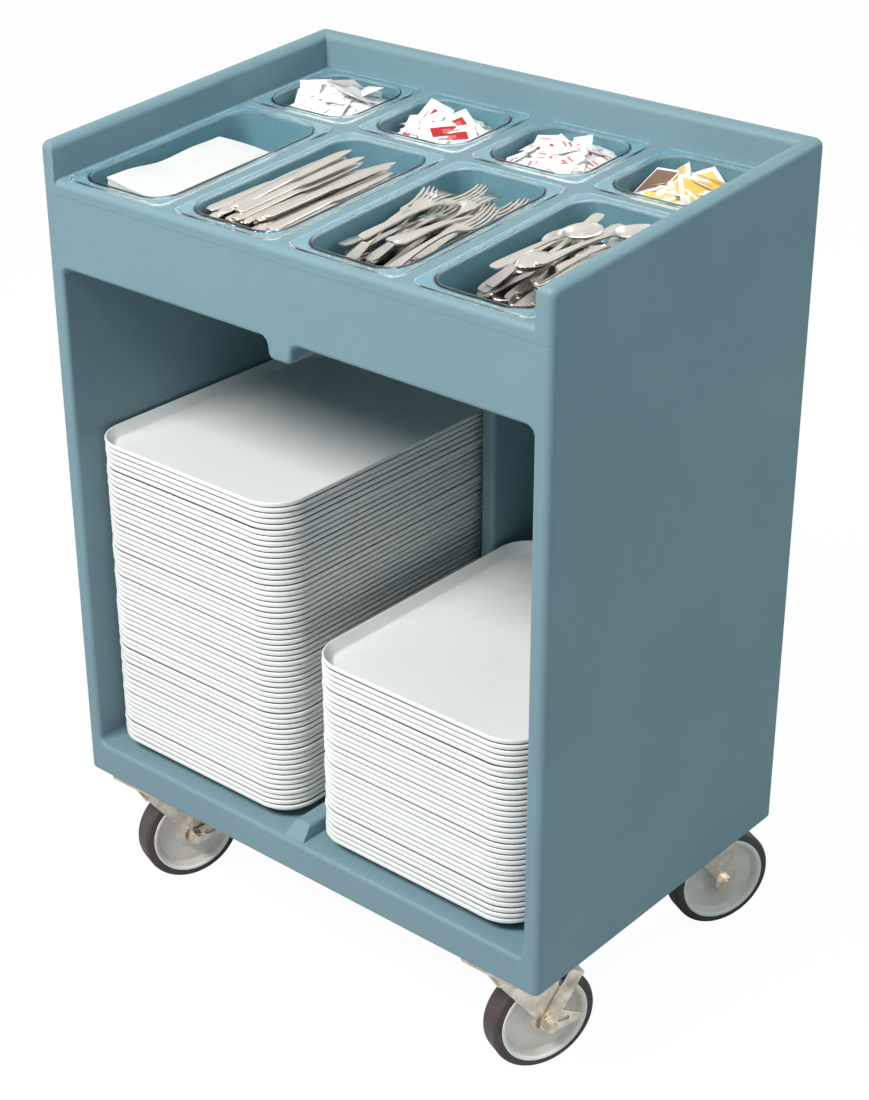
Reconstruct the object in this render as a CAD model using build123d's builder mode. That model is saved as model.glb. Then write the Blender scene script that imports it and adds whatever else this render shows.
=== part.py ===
from build123d import *
import os
from math import atan2, cos, degrees, radians, sin, tan

# Tray and cutlery cart, in millimetres, +Z up, front towards -Y.
# The origin is on the floor, under the middle of the space the standing cart takes up.
os.makedirs("parts", exist_ok=True)

# Cabinet: one moulding with a sloping deck on top and an open bay below
cabinet_w = 835.0
cabinet_d = 540.0
deck_front_h = 902.0        # deck surface at the front, above the cabinet's underside
deck_tilt = 4.6             # degrees, rising towards the back
rail_h = 48.0               # rails stand this far above the deck, square to it
side_t = 25.0
back_t = 25.0
floor_t = 50.0
bay_h = 732.0
bay_corner_r = 12.0         # rounding of the bay's long corners
corner_r = 10.0
rail_r = 11.0
deck_edge_r = 10.0
bay_edge_r = 6.0
base_edge_r = 6.0

# Centre rib, which runs round the bay's floor, back and ceiling between the two tray bays
rib_x = -9.0
rib_top_w = 26.0
rib_slope = 4.5
rib_tip_r = 6.0
floor_rib_h = 19.0
floor_rib_ramp = 20.0       # its front end slopes down over this length
ceiling_rib_x = 1.0
ceiling_rib_w = 36.0
ceiling_rib_h = 27.0
ceiling_rib_slope = 4.0
ceiling_rib_tip_r = 9.0
ceiling_rib_root_r = 12.0
back_rib_w = 24.0
back_rib_depth = 100.0
back_rib_r = 8.0

# Food pans: four long ones in front, four short ones behind
pan_side_gap = 12.0         # from a rail to the nearest pan's rim
pan_gap = 19.0              # between the rims of neighbours in a row
long_pan_l = 325.0
pan_depth = 65.0
pan_wall = 2.5
pan_rim_w = 13.0
pan_rim_t = 3.0
pan_rim_r = 14.0
pan_mouth_r = 34.0
pan_floor_r = 8.0
pan_draft = 5.0
pan_row_x = -1.0
pan_front_edge = 9.0        # from the deck's front to the long pans, along the deck
pan_row_gap = 15.0
pan_back_gap = 5.66
pan_seat_gap = 0.3
well_clear = 2.0            # room round a pan in its well

# Cutlery, napkins and packets that the pans hold
knife_l, knife_w, knife_t = 222.0, 19.0, 3.0
table_fork_l, table_fork_w, table_fork_t = 190.0, 25.0, 2.4
spoon_l, spoon_w, spoon_t = 185.0, 38.0, 2.4
handle_w = 13.0
neck_w = 7.0
tine_gap = 3.2
tine_l = 46.0
piece_gap = 0.3
piece_room = {"knife": 8.0, "fork": 5.0, "spoon": 2.5}     # between pieces side by side
napkin_margin = 48.0
napkin_l, napkin_t = 196.0, 6.0
napkin_ahead = 34.0         # the napkins lie this far in front of their pan's middle
napkin_count = 8
knife_layers, table_fork_layers, spoon_layers = 13, 15, 15
layer_turn = 4.5            # degrees that a layer of cutlery may lie askew
packet_layers = 9
packet_t = 4.0
packet_room = 3.0
packet_turn = 3.0

# Trays, nested on lugs in two stacks
tray_t = 3.0
tray_rim_h = 17.0
tray_rim_flare = 11.0
tray_lip_w = 3.0
tray_lip_t = 5.6
tray_corner_r = 52.0
tray_pitch = 8.15
lug_r = 9.0
lug_inset = 40.0
left_tray_count = 58
right_tray_count = 34
tray_front_setback = 20.0
tray_back_gap = 38.0
tray_wall_gap = 4.5
left_tray_rib_gap = 5.5
right_tray_rib_gap = 1.5
tray_seat_gap = 0.3

# Casters: four swivel casters, the front two with brakes
tyre_r = 76.2
tyre_w = 35.0
tyre_edge_r = 6.0
hub_ring_r = 64.0
hub_seat_r = 60.0
hub_rim_t = 4.0
hub_ring_t = 1.6
hub_boss_r = 19.0
bush_r = 8.0
bush_clear = 0.06
bush_end_clear = 0.2
hub_l = 40.0
axle_r = 6.0
axle_clear = 0.06
axle_head_r = 10.0
axle_head_t = 7.0
trail = 38.0
leg_t = 3.5
fork_over_tyre = 6.0
fork_front = 36.0           # crown's reach ahead of the swivel
fork_back = 55.0
fork_foot_r = 15.0
crown_t = 4.0
caster_h = 190.5
plate_t = 5.0
plate_w = 100.0
plate_l = 114.0
plate_r = 12.0
plate_hole_x = 76.0
plate_hole_y = 92.0
kingpin_r = 8.0
kingpin_clear = 0.06
kingpin_head_r = 14.0
kingpin_head_t = 5.0
race_r = 27.0
race_w = 16.0
race_gap = 1.6
ball_r = 4.0
ball_clear = 0.1
ball_count = 16
caster_side_inset = 84.5
caster_end_inset = 61.0
bolt_r = 4.0
bolt_clear = 0.25
bolt_grip = 28.0
bolt_head_r = 6.5
bolt_head_t = 5.3
headings = {"front_left": -19.0, "front_right": -23.0, "rear_left": -22.0, "rear_right": -25.5}

# Brake on each front caster: a side lever on the axle that draws a shoe onto the tyre
brake_t = 3.0
brake_gap = 0.3
lever_boss_r = 14.0
lever_reach = 52.0
lever_slot_l, lever_slot_w = 18.0, 7.0
arm_w = 24.0
arm_lean = 30.0             # degrees from upright
shoe_gap = 2.0
shoe_t = 6.0
shoe_l = 26.0
shoe_stroke = 1.7

# Places worked out from the sizes above
caster_x = cabinet_w / 2 - caster_side_inset
caster_y = cabinet_d / 2 - caster_end_inset
front_reach = cabinet_d / 2
rear_reach = max(
    caster_y + (trail + tyre_r) * cos(radians(a)) + (tyre_w / 2 - tyre_edge_r) * abs(sin(radians(a)))
    for name, a in headings.items() if name.startswith("rear")
)
cabinet_y = (front_reach - rear_reach) / 2
front_y = cabinet_y - cabinet_d / 2
back_y = cabinet_y + cabinet_d / 2
base_z = caster_h
floor_z = base_z + floor_t
ceiling_z = floor_z + bay_h
tilt = radians(deck_tilt)
bay_w = cabinet_w - 2 * side_t
bay_back_y = back_y - back_t
deck_front_z = base_z + deck_front_h
deck_back_z = deck_front_z + (cabinet_d - back_t) * tan(tilt)
rail_front_z = deck_front_z + rail_h / cos(tilt)
rail_back_z = rail_front_z + cabinet_d * tan(tilt)
deck = Plane(origin=(0, front_y, deck_front_z), x_dir=(1, 0, 0), z_dir=(0, -sin(tilt), cos(tilt)))
pan_w = (bay_w - 2 * pan_side_gap - 3 * pan_gap) / 4
pan_pitch = pan_w + pan_gap
short_pan_l = (
    (cabinet_d - back_t) / cos(tilt) - pan_front_edge - long_pan_l - pan_row_gap - pan_back_gap
)
pan_room = pan_w - 2 * pan_rim_w - 2 * (pan_depth * tan(radians(pan_draft)) + pan_floor_r)
napkin_w = pan_w - napkin_margin
tray_w = bay_w / 2 + rib_x - rib_top_w / 2 - rib_slope - tray_wall_gap - left_tray_rib_gap
tray_l = cabinet_d - back_t - tray_front_setback - tray_back_gap
pan_x = [pan_row_x + (i - 1.5) * pan_pitch for i in range(4)]
long_pan_y = pan_front_edge + long_pan_l / 2
short_pan_y = pan_front_edge + long_pan_l + pan_row_gap + short_pan_l / 2


def save(shape, name):
    shape.label = name
    export_step(shape, f"parts/{name}.step")


def upright(y):
    """A plane facing the front at depth y, with its own y upwards."""
    return Plane(origin=(0, y, 0), x_dir=(1, 0, 0), z_dir=(0, -1, 0))


def rib_profile(x, root_z, tip_z, tip_w, slope):
    half = tip_w / 2
    with BuildLine() as outline:
        Polyline(
            (x - half - slope, root_z), (x - half, tip_z),
            (x + half, tip_z), (x + half + slope, root_z), close=True,
        )
    return outline.line


# Cabinet
with BuildPart() as cabinet:
    with BuildSketch(Plane.YZ):
        with BuildLine():
            Polyline(
                (front_y, base_z), (back_y, base_z), (back_y, rail_back_z),
                (front_y, rail_front_z), close=True,
            )
        make_face()
    extrude(amount=cabinet_w / 2, both=True)
    fillet(cabinet.edges().filter_by(Axis.Z), radius=corner_r)
    fillet(cabinet.faces().sort_by(Axis.Z)[0].edges(), radius=base_edge_r)
    with BuildSketch(Plane.YZ) as above_deck:
        with BuildLine():
            Polyline(
                (front_y - rail_h, deck_front_z - 2 * deck_edge_r), (front_y, deck_front_z - 2 * deck_edge_r),
                (front_y, deck_front_z), (bay_back_y, deck_back_z), (bay_back_y, rail_back_z + rail_h),
                (front_y - rail_h, rail_back_z + rail_h), close=True,
            )
        make_face()
        fillet(
            above_deck.vertices().sort_by_distance((front_y, deck_front_z, 0))[0], radius=deck_edge_r
        )
    extrude(amount=bay_w / 2, both=True, mode=Mode.SUBTRACT)
    rails = cabinet.faces().sort_by(Axis(deck.origin, deck.z_dir))[-1]
    fillet(rails.edges(), radius=rail_r)
    with BuildSketch(upright(bay_back_y)) as bay:
        with Locations((0, (floor_z + ceiling_z) / 2)):
            RectangleRounded(bay_w, bay_h, bay_corner_r)
        with BuildSketch(mode=Mode.SUBTRACT):
            add(rib_profile(
                ceiling_rib_x, ceiling_z, ceiling_z - ceiling_rib_h, ceiling_rib_w, ceiling_rib_slope
            ))
            make_face()
        fillet(
            bay.vertices().sort_by_distance((ceiling_rib_x, ceiling_z - ceiling_rib_h, 0))[:2],
            radius=ceiling_rib_tip_r,
        )
        fillet(
            bay.vertices().filter_by_position(Axis.Y, ceiling_z - 1, ceiling_z + 1)
            .sort_by_distance((ceiling_rib_x, ceiling_z, 0))[:2],
            radius=ceiling_rib_root_r,
        )
    extrude(amount=cabinet_d, mode=Mode.SUBTRACT)
    bay_mouth = cabinet.edges().filter_by_position(Axis.Y, front_y - 1, front_y + 1)
    bay_mouth = bay_mouth.filter_by_position(Axis.Z, floor_z - 1, ceiling_z + 1)
    fillet(bay_mouth.filter_by_position(Axis.X, -bay_w / 2 - 1, bay_w / 2 + 1), radius=bay_edge_r)
    with BuildPart():
        with BuildSketch(upright(bay_back_y + 1)) as floor_rib:
            add(rib_profile(rib_x, floor_z - 1, floor_z + floor_rib_h, rib_top_w, rib_slope))
            make_face()
            fillet(floor_rib.vertices().sort_by(Axis.Y)[-2:], radius=rib_tip_r)
        extrude(amount=bay_back_y + 1 - front_y - bay_edge_r)
        ramp_y = front_y + bay_edge_r
        with BuildSketch(Plane.YZ.offset(rib_x)):
            with BuildLine():
                Polyline(
                    (ramp_y, floor_z), (ramp_y + floor_rib_ramp, floor_z + floor_rib_h),
                    (ramp_y, floor_z + floor_rib_h), close=True,
                )
            make_face()
        extrude(amount=rib_top_w / 2 + rib_slope + 1, both=True, mode=Mode.SUBTRACT)
    with BuildSketch(Plane.XY.offset(floor_z - 1)):
        with Locations((rib_x, bay_back_y - back_rib_depth / 2 + back_rib_r / 2)):
            RectangleRounded(back_rib_w, back_rib_depth + back_rib_r, back_rib_r)
    extrude(amount=bay_h + 2)
    for row_y, row_l in ((long_pan_y, long_pan_l), (short_pan_y, short_pan_l)):
        with BuildSketch(deck):
            with Locations([(x, row_y) for x in pan_x]):
                RectangleRounded(
                    pan_w - 2 * pan_rim_w + 2 * pan_wall + 2 * well_clear,
                    row_l - 2 * pan_rim_w + 2 * pan_wall + 2 * well_clear,
                    pan_mouth_r + pan_wall + well_clear,
                )
        extrude(amount=-(pan_depth + well_clear), mode=Mode.SUBTRACT)
    with BuildSketch(Plane.XY.offset(caster_h)):
        with Locations([(sx * caster_x, cabinet_y + sy * caster_y) for sx in (-1, 1) for sy in (-1, 1)]):
            with GridLocations(plate_hole_x, plate_hole_y, 2, 2):
                Circle(bolt_r + bolt_clear)
            Circle(kingpin_r + bolt_clear)
    extrude(amount=bolt_grip + bolt_clear, mode=Mode.SUBTRACT)
save(cabinet.part, "cabinet")


# Pans, clear and moulded, each hanging on its rim in a well of the deck
def make_pan(x, y, length):
    seat = deck.offset(pan_seat_gap)
    mouth_w, mouth_l = pan_w - 2 * pan_rim_w, length - 2 * pan_rim_w
    with BuildPart() as pan:
        with BuildSketch(seat):
            with Locations((x, y)):
                RectangleRounded(mouth_w + 2 * pan_wall, mouth_l + 2 * pan_wall, pan_mouth_r + pan_wall)
        extrude(amount=-pan_depth, taper=pan_draft)
        fillet(pan.faces().sort_by(Axis(deck.origin, deck.z_dir))[0].edges(), radius=pan_floor_r)
        with BuildSketch(seat):
            with Locations((x, y)):
                RectangleRounded(pan_w, length, pan_rim_r)
        extrude(amount=pan_rim_t)
        fillet(pan.faces().sort_by(Axis(deck.origin, deck.z_dir))[-1].edges(), radius=pan_rim_t / 3)
        with BuildSketch(seat.offset(pan_rim_t)):
            with Locations((x, y)):
                RectangleRounded(mouth_w, mouth_l, pan_mouth_r)
        extrude(amount=-(pan_depth + pan_rim_t - pan_wall), taper=pan_draft, mode=Mode.SUBTRACT)
    return pan.part


for i, x in enumerate(pan_x, start=1):
    save(make_pan(x, long_pan_y, long_pan_l), f"pan_front_{i}")
    save(make_pan(x, short_pan_y, short_pan_l), f"pan_rear_{i}")


# Cutlery lies in the long pans in layers, each piece a blank cut from sheet
def knife_blank():
    with BuildSketch() as blank:
        with BuildLine():
            Polyline(
                (-handle_w / 2, -knife_l / 2), (handle_w / 2, -knife_l / 2), (neck_w, 0),
                (knife_w / 2, knife_l * 0.1), (knife_w / 2, knife_l * 0.4),
            )
            ThreePointArc(
                (knife_w / 2, knife_l * 0.4), (knife_w / 4, knife_l * 0.47), (-knife_w / 2, knife_l / 2)
            )
            Polyline(
                (-knife_w / 2, knife_l / 2), (-knife_w / 2, knife_l * 0.1), (-neck_w, 0),
                (-handle_w / 2, -knife_l / 2),
            )
        make_face()
    return blank.sketch


def handle_blank(length, head_y):
    """A handle that narrows from its end to the neck, up to the head."""
    with BuildLine() as outline:
        Polyline(
            (-handle_w / 2, -length / 2), (handle_w / 2, -length / 2), (neck_w / 2, head_y),
            (-neck_w / 2, head_y), close=True,
        )
    return outline.line


def fork_blank():
    head_l = tine_l + table_fork_w / 2
    head_y = table_fork_l / 2 - head_l
    with BuildSketch() as blank:
        add(handle_blank(table_fork_l, head_y + table_fork_w / 2))
        make_face()
        with Locations((0, table_fork_l / 2 - head_l / 2)):
            RectangleRounded(table_fork_w, head_l, table_fork_w * 0.4)
        with Locations((0, table_fork_l / 2 - tine_l / 2)):
            with GridLocations(table_fork_w / 4, 1, 3, 1):
                Rectangle(tine_gap, tine_l + 1, mode=Mode.SUBTRACT)
    return blank.sketch


def spoon_blank():
    bowl_l = spoon_w * 1.5
    with BuildSketch() as blank:
        add(handle_blank(spoon_l, spoon_l / 2 - bowl_l * 0.9))
        make_face()
        with Locations((0, spoon_l / 2 - bowl_l / 2)):
            Ellipse(spoon_w / 2, bowl_l / 2)
    return blank.sketch


def packet_blank(width, length):
    with BuildSketch() as blank:
        RectangleRounded(width, length, width / 20)
    return blank.sketch


def pile(blank, x, y, thickness, columns, rows, pitch, layers, turn):
    """Layers of the same flat piece on a pan's floor, each layer turned and shifted a little."""
    floor = deck.offset(pan_seat_gap - pan_depth + pan_wall + piece_gap)
    pieces = []
    for layer in range(layers):
        sway = sin(2.4 * layer)
        with BuildPart() as sheet:
            with BuildSketch(floor.offset(layer * (thickness + piece_gap))):
                with Locations(Location((x + 2 * sway, y + 3 * cos(1.7 * layer)), turn * sway)):
                    with GridLocations(pitch[0], pitch[1], columns, rows):
                        add(blank)
            extrude(amount=thickness)
        pieces.extend(sheet.part.solids())
    return Compound(children=pieces)


def cutlery_pile(blank, x, piece_w, thickness, room, layers):
    """Cutlery side by side in a long pan, as many to a layer as its floor takes."""
    pitch = piece_w + room
    columns = int(pan_room // pitch)
    return pile(blank, x, long_pan_y, thickness, columns, 1, (pitch, 1), layers, layer_turn)


napkin = packet_blank(napkin_w, napkin_l)
napkin_y = long_pan_y - napkin_ahead
save(pile(napkin, pan_x[0], napkin_y, napkin_t, 1, 1, (1, 1), napkin_count, 0.6), "napkins")
save(
    cutlery_pile(knife_blank(), pan_x[1], knife_w, knife_t, piece_room["knife"], knife_layers), "knives"
)
save(
    cutlery_pile(
        fork_blank(), pan_x[2], table_fork_w, table_fork_t, piece_room["fork"], table_fork_layers
    ),
    "forks",
)
save(
    cutlery_pile(spoon_blank(), pan_x[3], spoon_w, spoon_t, piece_room["spoon"], spoon_layers), "spoons"
)

# Packets lie flat in the short pans
packets = {
    "white_packets": (54.0, 38.0),
    "red_packets": (56.0, 36.0),
    "small_packets": (36.0, 28.0),
    "yellow_packets": (50.0, 34.0),
}
for x, (name, (length, width)) in zip(pan_x, packets.items()):
    room_l = pan_room + short_pan_l - pan_w
    across, along = length + packet_room, width + packet_room
    columns, rows = int(pan_room // across), int(room_l // along)
    blank = packet_blank(length, width)
    pitch = (across, along)
    save(
        pile(blank, x, short_pan_y, packet_t, columns, rows, pitch, packet_layers, packet_turn), name
    )

# Tray: a flat pan with a flared rim, an edge band and four nesting lugs
with BuildPart() as tray:
    base_w, base_l = tray_w - 2 * (tray_rim_flare + tray_lip_w), tray_l - 2 * (tray_rim_flare + tray_lip_w)
    flare = degrees(atan2(tray_rim_flare, tray_rim_h))
    base_r = tray_corner_r - tray_rim_flare - tray_lip_w
    with BuildSketch():
        RectangleRounded(base_w, base_l, base_r)
    extrude(amount=tray_rim_h, taper=-flare)
    with BuildSketch(Plane.XY.offset(tray_rim_h - tray_lip_t)):
        RectangleRounded(tray_w, tray_l, tray_corner_r)
    extrude(amount=tray_lip_t)
    with BuildSketch(Plane.XY.offset(tray_t)):
        RectangleRounded(base_w - tray_t, base_l - tray_t, base_r - tray_t / 2)
    extrude(amount=tray_rim_h - tray_t, taper=-flare, mode=Mode.SUBTRACT)
    with BuildSketch(Plane.XY.offset(tray_t - tray_pitch)):
        with GridLocations(base_w - 2 * lug_inset, base_l - 2 * lug_inset, 2, 2):
            Circle(lug_r)
    extrude(amount=tray_pitch - tray_t)

tray_y = front_y + tray_front_setback + tray_l / 2
tray_floor_z = floor_z + tray_seat_gap + tray_pitch - tray_t
left_tray_x = -bay_w / 2 + tray_wall_gap + tray_w / 2
right_tray_x = rib_x + rib_top_w / 2 + rib_slope + right_tray_rib_gap + tray_w / 2
for name, x, count in (
    ("tray_stack_left", left_tray_x, left_tray_count),
    ("tray_stack_right", right_tray_x, right_tray_count),
):
    places = [Location((x, tray_y, tray_floor_z + i * tray_pitch)) for i in range(count)]
    save(Compound(children=[tray.part.moved(place) for place in places]), name)


# Casters. Each swivel frame has its x along the wheel's axle and its y along the trail.
def swivel_frame(name):
    sx = -1 if name.endswith("left") else 1
    sy = -1 if name.startswith("front") else 1
    a = radians(headings[name])
    return Plane(
        origin=(sx * caster_x, cabinet_y + sy * caster_y, 0), x_dir=(cos(a), sin(a), 0), z_dir=(0, 0, 1)
    )


def side_frame(swivel, x):
    """A plane square to the axle at x along it: its own x runs along the trail, its y upwards."""
    origin = swivel.origin + swivel.x_dir * x
    return Plane(origin=origin, x_dir=swivel.y_dir, z_dir=swivel.x_dir)


def axle_section(swivel):
    """A plane through the axle: its own x runs along the axle and its y upwards."""
    origin = swivel.origin + swivel.y_dir * trail + Vector(0, 0, tyre_r)
    return Plane(origin=origin, x_dir=swivel.x_dir, z_dir=-swivel.y_dir)


def axle_axis(swivel):
    return Axis(axle_section(swivel).origin, swivel.x_dir)


crown_z = 2 * tyre_r + fork_over_tyre
crown_top_z = crown_z + crown_t
plate_z = caster_h - plate_t
ball_z = (crown_top_z + plate_z) / 2
leg_x = hub_l / 2 + bush_end_clear
outer_x = leg_x + leg_t


def ball_groove(swivel):
    """The ring that the balls run in, to be cut from both races."""
    with BuildPart() as groove:
        with BuildSketch(Plane(origin=swivel.origin, x_dir=swivel.x_dir, z_dir=-swivel.y_dir)):
            with Locations((race_r, ball_z)):
                Circle(ball_r + ball_clear)
        revolve(axis=Axis(swivel.origin, (0, 0, 1)))
    return groove.part


def make_plate(swivel):
    level = Plane(origin=swivel.origin, x_dir=(1, 0, 0), z_dir=(0, 0, 1))
    with BuildPart() as plate:
        with BuildSketch(level.offset(plate_z)):
            RectangleRounded(plate_w, plate_l, plate_r)
            with GridLocations(plate_hole_x, plate_hole_y, 2, 2):
                Circle(bolt_r + bolt_clear, mode=Mode.SUBTRACT)
        extrude(amount=plate_t)
        with BuildSketch(level.offset(ball_z + race_gap / 2)):
            Circle(race_r + race_w / 2)
            Circle(race_r - race_w / 2, mode=Mode.SUBTRACT)
        extrude(amount=plate_z - ball_z - race_gap / 2)
        add(ball_groove(swivel), mode=Mode.SUBTRACT)
        with BuildSketch(level.offset(plate_z)):
            Circle(kingpin_r)
        extrude(amount=plate_t, mode=Mode.SUBTRACT)
    return plate.part


def make_balls(swivel):
    with BuildPart() as balls:
        with Locations(swivel.offset(ball_z)):
            with PolarLocations(race_r, ball_count):
                Sphere(ball_r)
    return Compound(children=balls.part.solids())


def make_kingpin(swivel):
    head_z = crown_z - piece_gap - kingpin_head_t
    with BuildPart() as kingpin:
        with BuildSketch(swivel.offset(head_z)):
            Circle(kingpin_head_r)
        extrude(amount=kingpin_head_t)
        chamfer(kingpin.edges().sort_by(Axis.Z)[0], length=kingpin_head_t / 4)
        with BuildSketch(swivel.offset(head_z)):
            Circle(kingpin_r)
        extrude(amount=caster_h - head_z)
    return kingpin.part


def leg_outline():
    """One fork leg, seen along the axle."""
    with BuildLine() as outline:
        Polyline(
            (-fork_front, crown_top_z), (fork_back, crown_top_z), (trail + fork_foot_r, tyre_r),
            (trail, tyre_r), (trail - fork_foot_r * 0.9, tyre_r + fork_foot_r * 0.4), close=True,
        )
    return outline.line


def make_fork(swivel):
    with BuildPart() as fork:
        with BuildSketch(swivel.offset(crown_z)):
            with Locations((0, (fork_back - fork_front) / 2)):
                RectangleRounded(2 * outer_x, fork_back + fork_front, leg_t)
        extrude(amount=crown_t)
        for x in (-outer_x, leg_x):
            with BuildSketch(side_frame(swivel, x)):
                add(leg_outline())
                make_face()
                with Locations((trail, tyre_r)):
                    Circle(fork_foot_r)
                    Circle(axle_r + axle_clear, mode=Mode.SUBTRACT)
            extrude(amount=leg_t)
        with BuildSketch(swivel.offset(crown_top_z)):
            Circle(race_r + race_w / 2)
            Circle(race_r - race_w / 2, mode=Mode.SUBTRACT)
        extrude(amount=ball_z - race_gap / 2 - crown_top_z)
        add(ball_groove(swivel), mode=Mode.SUBTRACT)
        with BuildSketch(swivel.offset(crown_z)):
            Circle(kingpin_r + kingpin_clear)
        extrude(amount=crown_t, mode=Mode.SUBTRACT)
    return fork.part


def axle_rod(swivel, low_x, high_x, radius, sides=0):
    """A round or hexagonal rod on the axle's line, from low_x to high_x."""
    with BuildPart() as rod:
        with BuildSketch(side_frame(swivel, low_x)):
            with Locations((trail, tyre_r)):
                if sides:
                    RegularPolygon(radius, sides)
                else:
                    Circle(radius)
        extrude(amount=high_x - low_x)
    return rod.part


def make_axle_set(swivel, braked):
    stack = 2 * (brake_t + brake_gap) + brake_gap if braked else 0
    nut_x = outer_x + stack
    with BuildPart() as bolt:
        add(axle_rod(swivel, -outer_x - axle_head_t, -outer_x, axle_head_r, 6))
        add(axle_rod(swivel, -outer_x - axle_head_t, nut_x + axle_head_t + 2, axle_r))
    with BuildPart() as nut:
        add(axle_rod(swivel, nut_x, nut_x + axle_head_t, axle_head_r, 6))
        add(axle_rod(swivel, nut_x, nut_x + axle_head_t, axle_r), mode=Mode.SUBTRACT)
    return Compound(children=[bolt.part, nut.part])


def make_bush(swivel):
    with BuildPart() as bush:
        add(axle_rod(swivel, -leg_x, leg_x, bush_r))
        add(axle_rod(swivel, -leg_x, leg_x, axle_r), mode=Mode.SUBTRACT)
    return bush.part


def make_hub(swivel):
    ring_x = tyre_w / 2
    with BuildPart() as hub:
        with BuildSketch(axle_section(swivel)):
            with BuildLine():
                Polyline(
                    (-hub_l / 2, bush_r + bush_clear), (hub_l / 2, bush_r + bush_clear),
                    (hub_l / 2, hub_boss_r - 3), (ring_x - 3, hub_boss_r),
                    (ring_x - 8, hub_boss_r + 8), (ring_x - 8, hub_seat_r - hub_rim_t - 4),
                    (ring_x - 3, hub_seat_r - hub_rim_t), (ring_x + hub_ring_t, hub_ring_r - 2.5),
                    (ring_x + hub_ring_t, hub_ring_r), (ring_x, hub_ring_r), (ring_x - 3, hub_seat_r),
                    (-ring_x + 3, hub_seat_r), (-ring_x, hub_ring_r), (-ring_x - hub_ring_t, hub_ring_r),
                    (-ring_x - hub_ring_t, hub_ring_r - 2.5), (-ring_x + 3, hub_seat_r - hub_rim_t),
                    (-ring_x + 8, hub_seat_r - hub_rim_t - 4), (-ring_x + 8, hub_boss_r + 8),
                    (-ring_x + 3, hub_boss_r), (-hub_l / 2, hub_boss_r - 3), close=True,
                )
            make_face()
        revolve(axis=axle_axis(swivel))
    return hub.part


def make_tyre(swivel):
    ring_x = tyre_w / 2
    with BuildPart() as tyre:
        with BuildSketch(axle_section(swivel)) as section:
            with BuildLine():
                Polyline(
                    (-ring_x + 3, hub_seat_r), (ring_x - 3, hub_seat_r), (ring_x, hub_ring_r),
                    (ring_x, tyre_r), (-ring_x, tyre_r), (-ring_x, hub_ring_r), close=True,
                )
            make_face()
            fillet(section.vertices().group_by(Axis.Y)[-1], radius=tyre_edge_r)
        revolve(axis=axle_axis(swivel))
    return tyre.part


def make_brake_arm(swivel):
    """A strap slotted over the axle, with the shoe that hangs over the tyre at its upper end."""
    lean = radians(arm_lean)
    inner_x = outer_x + brake_gap
    reach = tyre_r + shoe_gap + shoe_t
    turn = Location((trail, tyre_r), -arm_lean)
    with BuildPart() as arm:
        with BuildSketch(side_frame(swivel, inner_x)):
            with Locations(turn):
                with Locations((0, reach / 2)):
                    Rectangle(arm_w, reach)
                Circle(arm_w / 2)
                SlotOverall(
                    2 * (axle_r + axle_clear + shoe_stroke), 2 * (axle_r + axle_clear), rotation=90,
                    mode=Mode.SUBTRACT,
                )
        extrude(amount=brake_t)
        with BuildSketch(side_frame(swivel, -tyre_w / 2)):
            with Locations(turn):
                with Locations((0, reach - shoe_t / 2)):
                    Rectangle(shoe_l, shoe_t)
        extrude(amount=tyre_w / 2 + inner_x + brake_t)
    return arm.part


def make_brake_lever(swivel):
    with BuildPart() as lever:
        with BuildSketch(side_frame(swivel, outer_x + 2 * brake_gap + brake_t)):
            with Locations((trail, tyre_r)):
                Circle(lever_boss_r)
                with BuildLine():
                    Polyline(
                        (trail - 6, tyre_r + lever_boss_r - 2), (trail + 20, tyre_r + lever_boss_r + 4),
                        (trail + lever_reach, tyre_r + 2), (trail + lever_reach - 2, tyre_r - 6),
                        (trail, tyre_r - lever_boss_r), close=True,
                    )
                make_face()
                Circle(axle_r + axle_clear, mode=Mode.SUBTRACT)
            with Locations((trail + lever_boss_r + lever_slot_l / 2 - 2, tyre_r + 3)):
                SlotOverall(lever_slot_l, lever_slot_w, mode=Mode.SUBTRACT)
        extrude(amount=brake_t)
    return lever.part


def make_bolts(swivel):
    level = Plane(origin=swivel.origin, x_dir=(1, 0, 0), z_dir=(0, 0, 1))
    with BuildPart() as bolts:
        with BuildSketch(level.offset(plate_z - bolt_head_t)):
            with GridLocations(plate_hole_x, plate_hole_y, 2, 2):
                RegularPolygon(bolt_head_r, 6)
        extrude(amount=bolt_head_t)
        with BuildSketch(level.offset(plate_z - bolt_head_t)):
            with GridLocations(plate_hole_x, plate_hole_y, 2, 2):
                Circle(bolt_r)
        extrude(amount=bolt_head_t + bolt_grip)
    return bolts.part.solids()


caster_bolts = []
for corner in headings:
    swivel = swivel_frame(corner)
    save(make_plate(swivel), f"{corner}_caster_plate")
    save(make_balls(swivel), f"{corner}_caster_balls")
    save(make_kingpin(swivel), f"{corner}_kingpin")
    save(make_fork(swivel), f"{corner}_fork")
    save(make_axle_set(swivel, corner.startswith("front")), f"{corner}_axle")
    save(make_bush(swivel), f"{corner}_bush")
    save(make_hub(swivel), f"{corner}_hub")
    save(make_tyre(swivel), f"{corner}_tyre")
    if corner.startswith("front"):
        save(make_brake_arm(swivel), f"{corner}_brake_shoe")
        save(make_brake_lever(swivel), f"{corner}_brake_lever")
    caster_bolts.extend(make_bolts(swivel))
save(Compound(children=caster_bolts), "caster_bolts")
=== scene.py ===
import random
from math import atan, copysign, cos, pi, radians, sin

import bmesh
import bpy
import numpy as np
from mathutils import Matrix, Vector


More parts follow.
